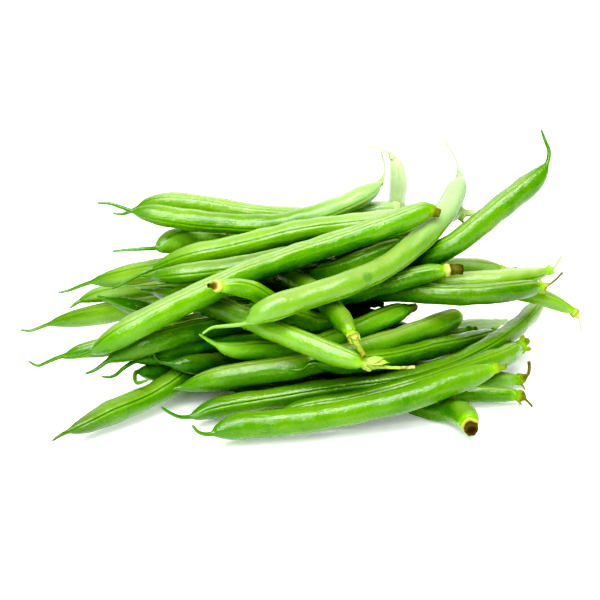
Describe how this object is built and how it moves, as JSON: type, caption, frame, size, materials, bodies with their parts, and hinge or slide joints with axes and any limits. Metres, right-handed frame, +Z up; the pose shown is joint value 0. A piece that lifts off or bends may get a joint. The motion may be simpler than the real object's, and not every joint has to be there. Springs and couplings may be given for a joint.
{
  "type": "green bean bundle",
  "caption": "Loose heap of whole fresh green beans lying crosswise on a flat surface, with thin curled tails, pod seams and cut or stalked ends.",
  "frame": {"origin": "on the surface the heap lies on, under the middle of its bounding box", "axes": "+X along the heap's longest extent towards the stalk ends at its right, -Y towards the picture's viewer, +Z up"},
  "size_m": [0.2012, 0.1224, 0.0849],
  "materials": {
    "pod_green": "satin, smooth fresh skin",
    "pod_light": "satin, smooth fresh skin",
    "pod_pale": "satin, smooth fresh skin",
    "pod_deep": "satin, smooth fresh skin"
  },
  "bodies": {
    "root": {"bean_back_left_floor": "pod_pale", "bean_back_right_floor": "pod_pale", "bean_beak_up": "pod_green", "bean_big_light": "pod_light", "bean_big_top": "pod_green", "bean_calyx_forward": "pod_light", "bean_cut_end_left": "pod_light", "bean_cut_right": "pod_green", "bean_dark_pointed": "pod_deep", "bean_front_floor": "pod_green", "bean_hooked_stalk": "pod_deep", "bean_inside_floor_back": "pod_green", "bean_inside_floor_front": "pod_green", "bean_inside_floor_middle": "pod_green", "bean_inside_low_front": "pod_green", "bean_inside_rear_slope": "pod_green", "bean_inside_second_back": "pod_green", "bean_inside_second_middle": "pod_green", "bean_inside_third_back": "pod_green", "bean_inside_third_middle": "pod_green", "bean_inside_upper_back": "pod_green", "bean_inside_upper_middle": "pod_green", "bean_left_curl": "pod_green", "bean_left_diagonal": "pod_green", "bean_left_loop": "pod_deep", "bean_left_shade": "pod_deep", "bean_left_small": "pod_deep", "bean_left_under": "pod_green", "bean_left_upper": "pod_pale", "bean_light_diagonal": "pod_light", "bean_long_low": "pod_green", "bean_long_tailed": "pod_light", "bean_lowest_right": "pod_green", "bean_mid_front": "pod_green", "bean_mid_low": "pod_green", "bean_narrow_floor": "pod_green", "bean_pale_left": "pod_pale", "bean_right_dark": "pod_deep", "bean_right_low": "pod_green", "bean_right_middle": "pod_green", "bean_right_outer": "pod_pale", "bean_right_upper": "pod_pale", "bean_second_row": "pod_green", "bean_stubby": "pod_pale", "bean_thin_pale": "pod_pale", "bean_top_back": "pod_light", "bean_top_rear": "pod_pale", "bean_under_top": "pod_green", "bean_upright_back": "pod_pale", "bean_wide_left": "pod_green"}
  },
  "joints": []
}
